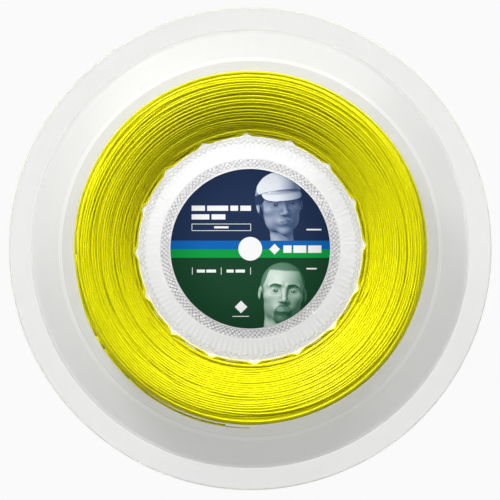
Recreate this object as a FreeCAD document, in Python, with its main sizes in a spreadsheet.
"""Clear plastic reel of racket string, as a parametric assembly in millimetres.

The reel lies flat: its axis is +Z and its rear rim stands on Z = 0, with the axis at the origin.
Two equal clear mouldings, front and rear, clamp a ribbed drum and a spindle tube between them.
The string fills the groove between the mouldings, which is narrow at the drum and widens outwards.
Each sub-part is modelled about the reel's middle plane and then lifted by half the reel's width.
"""

import FreeCAD, Part
import math
import os
import Sketcher

# Driving dimensions. "Half" sizes are heights above the reel's middle plane.
SIZES = {
    "RimRadius": 130.0,  # outside of both flanges
    "BendRadius": 119.1,  # where the sloped flange meets the flat rim
    "CreaseRadius": 102.9,  # where the slope gets steeper, just outside the string
    "WaistRadius": 80.0,  # where the steep slope by the drum eases off
    "HubRadius": 61.0,  # outside of the drum, where the groove starts
    "ShoulderRadius": 49.5,  # where the hub's face starts to fall towards the groove
    "LabelRadius": 43.7,
    "BoreRadius": 6.45,  # takes the stringer's spindle
    "HubHalf": 3.3,  # half the groove at the drum
    "WaistHalf": 11.5,
    "CreaseHalf": 14.9,
    "BendHalf": 21.9,
    "PlateHalf": 5.3,  # inner face of the hub's plate
    "Wall": 2.0,
    "LabelThick": 0.2,
    "LabelGap": 0.25,  # room round the label in its recess
    "WaistRound": 55.0,
    "CreaseRound": 3.0,
    "BendRound": 4.0,
    "ValleyRound": 1.0,
    "RimRound": 0.9,
    "LineInner": 124.4,  # two fine moulded lines run round each rim
    "LineOuter": 127.1,
    "LineWide": 0.5,
    "LineDeep": 0.3,
    "DrumWall": 2.5,
    "RibTall": 2.4,  # the drum's ribs grip the first turns
    "RibSide": 4.8,  # half of a rib's foot, inside the wall
    "RibSink": 0.6,  # how far a rib's foot reaches into the drum's wall
    "SpigotClear": 0.1,
    "SpigotWall": 2.0,
    "SpigotTall": 2.5,
    "TubeWall": 2.5,
    "SocketWall": 1.6,
    "AnchorRadius": 0.8,  # hole in the drum for the string's inner end
    "CoilRadius": 97.6,
    "CoilEdgeHalf": 8.5,  # half the winding's width at its outside
    "CrownRadius": 92.5,  # where the winding is widest
    "CrownHalf": 12.6,
    "CrownRound": 6.0,
    "CoilClear": 0.1,  # between the wound string and the flanges
    "TapeThick": 0.1,
    "TapeHalf": 8.0,
    "TapeAngle": 20.0,
}
RIB_COUNT = 16
FIRST_RIB_ANGLE = 2.0  # degrees from +X
# The ribs are drawn half a pitch off the sketch's axes, so that the anchor hole falls between two of them.
RIB_OFFSET = 180.0 / RIB_COUNT
TAPE_START_ANGLE = 250.0
FULL_TURN = 360.0
HALF_TURN = 180.0
LEAST_CHANGE = 0.01  # mm3 that a cut must take away to count
REACH = 1e-4  # how near an edge lies to the radius and height it is looked up by

document = FreeCAD.newDocument("StringReel")


def make_sheet():
    """The spreadsheet that every size is bound to."""
    sheet = document.addObject("Spreadsheet::Sheet", "Sizes")
    for row, (name, number) in enumerate(SIZES.items(), start=1):
        sheet.set(f"A{row}", name)
        sheet.set(f"B{row}", str(number))
        sheet.setAlias(f"B{row}", name)
    document.recompute()


def reading(text):
    """The number that a sum or difference of sheet names stands for."""
    total = 0.0
    sign = 1
    for word in text.split():
        if word in ("+", "-"):
            sign = 1 if word == "+" else -1
        else:
            total += sign * SIZES[word]
            sign = 1
    return total


def bound(text):
    """The same sum as an expression on the sheet."""
    return " ".join(word if word in ("+", "-") else f"Sizes.{word}" for word in text.split())


def make_body(label):
    body = document.addObject("PartDesign::Body", label)
    body.Label = label
    return body


def place(body, turn_about_x=0.0, turn_about_z=0.0):
    """Lifts a body to the reel's middle plane, after turning it over or about the axis."""
    over = FreeCAD.Rotation(FreeCAD.Vector(1, 0, 0), turn_about_x)
    about = FreeCAD.Rotation(FreeCAD.Vector(0, 0, 1), turn_about_z)
    body.Placement = FreeCAD.Placement(FreeCAD.Vector(0, 0, 0), about * over)
    body.setExpression("Placement.Base.z", bound("BendHalf + Wall"))


def make_sketch(body, plane, name):
    sketch = body.newObject("Sketcher::SketchObject", name)
    face = next(item for item in body.Origin.OriginFeatures if item.Role == plane)
    sketch.AttachmentSupport = [(face, "")]
    sketch.MapMode = "FlatFace"
    return sketch


def bind_corner(sketch, direction, edge, text):
    """Ties one coordinate of an edge's start to the sheet, from the sketch's origin."""
    amount = reading(text)
    if amount < 0:
        rule = Sketcher.Constraint(direction, edge, 1, -1, 1, -amount)
        expression = f"-({bound(text)})"
    else:
        rule = Sketcher.Constraint(direction, -1, 1, edge, 1, amount)
        expression = bound(text)
    index = sketch.addConstraint(rule)
    sketch.setExpression(f"Constraints[{index}]", expression)


def bind_distance(sketch, items, text):
    """Ties a length, or a corner's distance from an edge, to the sheet."""
    index = sketch.addConstraint(Sketcher.Constraint("Distance", *items, reading(text)))
    sketch.setExpression(f"Constraints[{index}]", bound(text))


def add_chain(sketch, points):
    """Straight edges through the points and back to the first."""
    edges = []
    for start, end in zip(points, points[1:] + points[:1]):
        edges.append(sketch.addGeometry(Part.LineSegment(start, end), False))
    for edge, following in zip(edges, edges[1:] + edges[:1]):
        sketch.addConstraint(Sketcher.Constraint("Coincident", edge, 2, following, 1))
    return edges


def add_outline(sketch, corners):
    """A closed chain of straight edges whose corners are pairs of sheet sums."""
    points = [FreeCAD.Vector(reading(x), reading(y), 0) for x, y in corners]
    for edge, (x, y) in zip(add_chain(sketch, points), corners):
        bind_corner(sketch, "DistanceX", edge, x)
        bind_corner(sketch, "DistanceY", edge, y)


def add_circle(sketch, radius):
    """A circle about the sketch's origin."""
    circle = Part.Circle(FreeCAD.Vector(0, 0, 0), FreeCAD.Vector(0, 0, 1), reading(radius))
    edge = sketch.addGeometry(circle, False)
    sketch.addConstraint(Sketcher.Constraint("Coincident", edge, 3, -1, 1))
    index = sketch.addConstraint(Sketcher.Constraint("Radius", edge, reading(radius)))
    sketch.setExpression(f"Constraints[{index}]", bound(radius))


def turn_profile(body, kind, corner_lists, name):
    """A Revolution or Groove about the reel's axis, of one or more closed outlines."""
    sketch = make_sketch(body, "XZ_Plane", f"{name}Profile")
    for corners in corner_lists:
        add_outline(sketch, corners)
    before = 0.0 if kind == "PartDesign::Revolution" else body.Shape.Volume
    feature = body.newObject(kind, name)
    feature.Profile = sketch
    feature.ReferenceAxis = (sketch, ["V_Axis"])
    feature.Angle = FULL_TURN
    sketch.Visibility = False
    document.recompute()
    need_change(feature, before)
    return feature


def pad_profile(body, sketch, length, name):
    """A pad of equal height on both sides of the middle plane."""
    pad = body.newObject("PartDesign::Pad", name)
    pad.Profile = sketch
    pad.Midplane = True
    pad.setExpression("Length", bound(length))
    document.recompute()
    return pad


def pattern_ribs(body, feature, name):
    """Repeats one rib, or the slot that clears it, round the drum."""
    pattern = body.newObject("PartDesign::PolarPattern", name)
    pattern.Originals = [feature]
    axis = next(item for item in body.Origin.OriginFeatures if item.Role == "Z_Axis")
    pattern.Axis = (axis, [""])
    pattern.Angle = FULL_TURN
    pattern.Occurrences = RIB_COUNT
    body.Tip = pattern
    document.recompute()
    return pattern


def need_change(feature, before):
    if abs(feature.Shape.Volume - before) < LEAST_CHANGE:
        raise RuntimeError(f"{feature.Name} changed nothing")


def ring_edges(shape, places):
    """The names of the full circles at the given (radius, height) pairs."""
    names = []
    for number, edge in enumerate(shape.Edges, start=1):
        if not isinstance(edge.Curve, Part.Circle):
            continue
        for radius, height in places:
            near_radius = abs(edge.Curve.Radius - reading(radius)) < REACH
            near_height = abs(edge.Curve.Center.z - reading(height)) < REACH
            if near_radius and near_height:
                names.append(f"Edge{number}")
    if len(names) != len(places):
        raise RuntimeError(f"{len(names)} of {len(places)} edges were found")
    return names


def round_edges(body, places, radius, name):
    base = body.Tip
    fillet = body.newObject("PartDesign::Fillet", name)
    fillet.Base = (base, ring_edges(base.Shape, places))
    fillet.setExpression("Radius", bound(radius))
    document.recompute()


def make_flange(label):
    """One clear moulding of even wall: hub plate, falling shoulder, dished flange and flat rim."""
    body = make_body(label)
    spigot_outer = "HubRadius - DrumWall - SpigotClear"
    spigot_inner = "HubRadius - DrumWall - SpigotClear - SpigotWall"
    socket_inner = "BoreRadius + TubeWall + SpigotClear"
    socket_outer = "BoreRadius + TubeWall + SpigotClear + SocketWall"
    outer_face = [
        ("BoreRadius", "PlateHalf + Wall - LabelThick"),
        ("LabelRadius + LabelGap", "PlateHalf + Wall - LabelThick"),
        ("LabelRadius + LabelGap", "PlateHalf + Wall"),
        ("ShoulderRadius", "PlateHalf + Wall"),
        ("HubRadius", "HubHalf + Wall"),
        ("WaistRadius", "WaistHalf + Wall"),
        ("CreaseRadius", "CreaseHalf + Wall"),
        ("BendRadius", "BendHalf + Wall"),
        ("RimRadius", "BendHalf + Wall"),
    ]
    inner_face = [
        ("RimRadius", "BendHalf"),
        ("BendRadius", "BendHalf"),
        ("CreaseRadius", "CreaseHalf"),
        ("WaistRadius", "WaistHalf"),
        ("HubRadius", "HubHalf"),
        (spigot_outer, "HubHalf"),
        (spigot_outer, "HubHalf - SpigotTall"),
        (spigot_inner, "HubHalf - SpigotTall"),
        (spigot_inner, "HubHalf"),
        ("ShoulderRadius", "PlateHalf"),
        (socket_outer, "PlateHalf"),
        (socket_outer, "HubHalf - SpigotTall"),
        (socket_inner, "HubHalf - SpigotTall"),
        (socket_inner, "PlateHalf"),
        ("BoreRadius", "PlateHalf"),
    ]
    turn_profile(body, "PartDesign::Revolution", [outer_face + inner_face], f"{label}_shell")
    waists = [("WaistRadius", "WaistHalf"), ("WaistRadius", "WaistHalf + Wall")]
    creases = [("CreaseRadius", "CreaseHalf"), ("CreaseRadius", "CreaseHalf + Wall")]
    bends = [("BendRadius", "BendHalf"), ("BendRadius", "BendHalf + Wall")]
    rims = [("RimRadius", "BendHalf"), ("RimRadius", "BendHalf + Wall")]
    round_edges(body, waists, "WaistRound", f"{label}_waist")
    round_edges(body, creases, "CreaseRound", f"{label}_crease")
    round_edges(body, bends, "BendRound", f"{label}_bend")
    round_edges(body, [("HubRadius", "HubHalf + Wall")], "ValleyRound", f"{label}_valley")
    round_edges(body, rims, "RimRound", f"{label}_rim")
    lines = []
    for middle in ("LineInner", "LineOuter"):
        low = "BendHalf + Wall - LineDeep"
        high = "BendHalf + Wall + LineDeep"
        corners = [(middle, low), (f"{middle} + LineWide", low)]
        corners += [(f"{middle} + LineWide", high), (middle, high)]
        lines.append(corners)
    turn_profile(body, "PartDesign::Groove", lines, f"{label}_lines")
    return body


def make_drum():
    """The ring that the string is wound on, with triangular ribs along its outside."""
    body = make_body("winding_drum")
    ring = make_sketch(body, "XY_Plane", "DrumRing")
    add_circle(ring, "HubRadius")
    add_circle(ring, "HubRadius - DrumWall")
    pad_profile(body, ring, "HubHalf + HubHalf", "DrumWallPad")
    rib = make_sketch(body, "XY_Plane", "DrumRib")
    add_rib_outline(rib)
    rib_pad = pad_profile(body, rib, "HubHalf + HubHalf", "DrumRibPad")
    pattern_ribs(body, rib_pad, "DrumRibs")
    before = body.Shape.Volume
    hole = make_sketch(body, "XZ_Plane", "AnchorHoleSketch")
    add_circle(hole, "AnchorRadius")
    pocket = body.newObject("PartDesign::Pocket", "AnchorHole")
    pocket.Profile = hole
    pocket.setExpression("Length", bound("HubRadius + RibTall"))
    document.recompute()
    need_change(pocket, before)
    place(body, turn_about_z=FIRST_RIB_ANGLE - RIB_OFFSET)
    return body


def add_rib_outline(sketch):
    """A triangle that stands on the drum's outside, half a pitch from the sketch's X axis."""
    turn = math.radians(RIB_OFFSET)
    along = FreeCAD.Vector(math.cos(turn), math.sin(turn), 0)
    side = FreeCAD.Vector(-math.sin(turn), math.cos(turn), 0) * reading("RibSide")
    foot = along * reading("HubRadius - RibSink")
    tip = along * reading("HubRadius + RibTall")
    first, second, base = add_chain(sketch, [foot - side, tip, foot + side])
    middle = sketch.addGeometry(Part.LineSegment(FreeCAD.Vector(0, 0, 0), tip), True)
    sketch.addConstraint(Sketcher.Constraint("Coincident", middle, 1, -1, 1))
    sketch.addConstraint(Sketcher.Constraint("Coincident", middle, 2, first, 2))
    sketch.addConstraint(Sketcher.Constraint("Angle", -1, 1, middle, 1, turn))
    sketch.addConstraint(Sketcher.Constraint("Symmetric", base, 1, base, 2, middle))
    bind_distance(sketch, (middle,), "HubRadius + RibTall")
    bind_distance(sketch, (base,), "RibSide + RibSide")
    bind_distance(sketch, (first, 2, base), "RibTall + RibSink")


def make_tube():
    """The sleeve round the spindle, which keeps the two hub plates apart."""
    body = make_body("spindle_tube")
    ring = make_sketch(body, "XY_Plane", "TubeRing")
    add_circle(ring, "BoreRadius")
    add_circle(ring, "BoreRadius + TubeWall")
    pad_profile(body, ring, "PlateHalf + PlateHalf", "TubePad")
    place(body)
    return body


def make_label(label):
    """A printed disc that fills the recess in a hub plate."""
    body = make_body(label)
    floor = "PlateHalf + Wall - LabelThick"
    top = "PlateHalf + Wall"
    corners = [("BoreRadius", floor), ("LabelRadius", floor), ("LabelRadius", top), ("BoreRadius", top)]
    turn_profile(body, "PartDesign::Revolution", [corners], f"{label}_disc")
    return body


def make_winding():
    """The outer shape of the wound string, which fills the groove and clears the drum's ribs."""
    body = make_body("string_winding")
    corners = [
        ("HubRadius", "- HubHalf + CoilClear"),
        ("WaistRadius", "- WaistHalf + CoilClear"),
        ("CrownRadius", "- CrownHalf"),
        ("CoilRadius", "- CoilEdgeHalf"),
        ("CoilRadius", "CoilEdgeHalf"),
        ("CrownRadius", "CrownHalf"),
        ("WaistRadius", "WaistHalf - CoilClear"),
        ("HubRadius", "HubHalf - CoilClear"),
    ]
    turn_profile(body, "PartDesign::Revolution", [corners], "WindingRing")
    waists = [("WaistRadius", "WaistHalf - CoilClear"), ("WaistRadius", "- WaistHalf + CoilClear")]
    round_edges(body, waists, "WaistRound", "WindingWaist")
    crowns = [("CrownRadius", "CrownHalf"), ("CrownRadius", "- CrownHalf")]
    round_edges(body, crowns, "CrownRound", "WindingCrown")
    before = body.Shape.Volume
    slot = make_sketch(body, "XY_Plane", "RibSlotSketch")
    add_rib_outline(slot)
    pocket = body.newObject("PartDesign::Pocket", "RibSlot")
    pocket.Profile = slot
    pocket.Midplane = True
    pocket.setExpression("Length", bound("BendHalf + BendHalf"))
    document.recompute()
    need_change(pocket, before)
    pattern_ribs(body, pocket, "RibSlots")
    place(body, turn_about_z=FIRST_RIB_ANGLE - RIB_OFFSET)
    return body


def make_tape():
    """A short strip of clear tape over the string's outer end."""
    body = make_body("tail_tape")
    sketch = make_sketch(body, "XZ_Plane", "TapeProfile")
    corners = [("CoilRadius", "- TapeHalf"), ("CoilRadius + TapeThick", "- TapeHalf")]
    corners += [("CoilRadius + TapeThick", "TapeHalf"), ("CoilRadius", "TapeHalf")]
    add_outline(sketch, corners)
    strip = body.newObject("PartDesign::Revolution", "TapeStrip")
    strip.Profile = sketch
    strip.ReferenceAxis = (sketch, ["V_Axis"])
    strip.setExpression("Angle", bound("TapeAngle"))
    document.recompute()
    place(body, turn_about_z=TAPE_START_ANGLE)
    return body


def check_and_export(bodies):
    """Stops if an object failed or a shape is bad, and then writes one file per sub-part."""
    document.recompute()
    for item in document.Objects:
        if "Invalid" in item.State or "Error" in item.State:
            raise RuntimeError(f"{item.Name} is {item.State}")
    for body in bodies:
        if body.Shape.isNull() or not body.Shape.isValid():
            raise RuntimeError(f"{body.Label} has no valid shape")
    os.makedirs("parts", exist_ok=True)
    for body in bodies:
        box = body.Shape.BoundBox
        print(f"{body.Label}: {len(body.Shape.Solids)} solid, {body.Shape.Volume:.0f} mm3,"
              f" z {box.ZMin:.2f} to {box.ZMax:.2f}, x to {box.XMax:.2f}")
        body.Shape.exportStep(f"parts/{body.Label}.step")


make_sheet()
front_flange = make_flange("front_flange")
place(front_flange)
rear_flange = make_flange("rear_flange")
place(rear_flange, turn_about_x=HALF_TURN)
front_label = make_label("front_label")
place(front_label)
rear_label = make_label("rear_label")
place(rear_label, turn_about_x=HALF_TURN)
sub_parts = [front_flange, rear_flange, make_drum(), make_tube(), front_label, rear_label]
sub_parts += [make_winding(), make_tape()]
check_and_export(sub_parts)
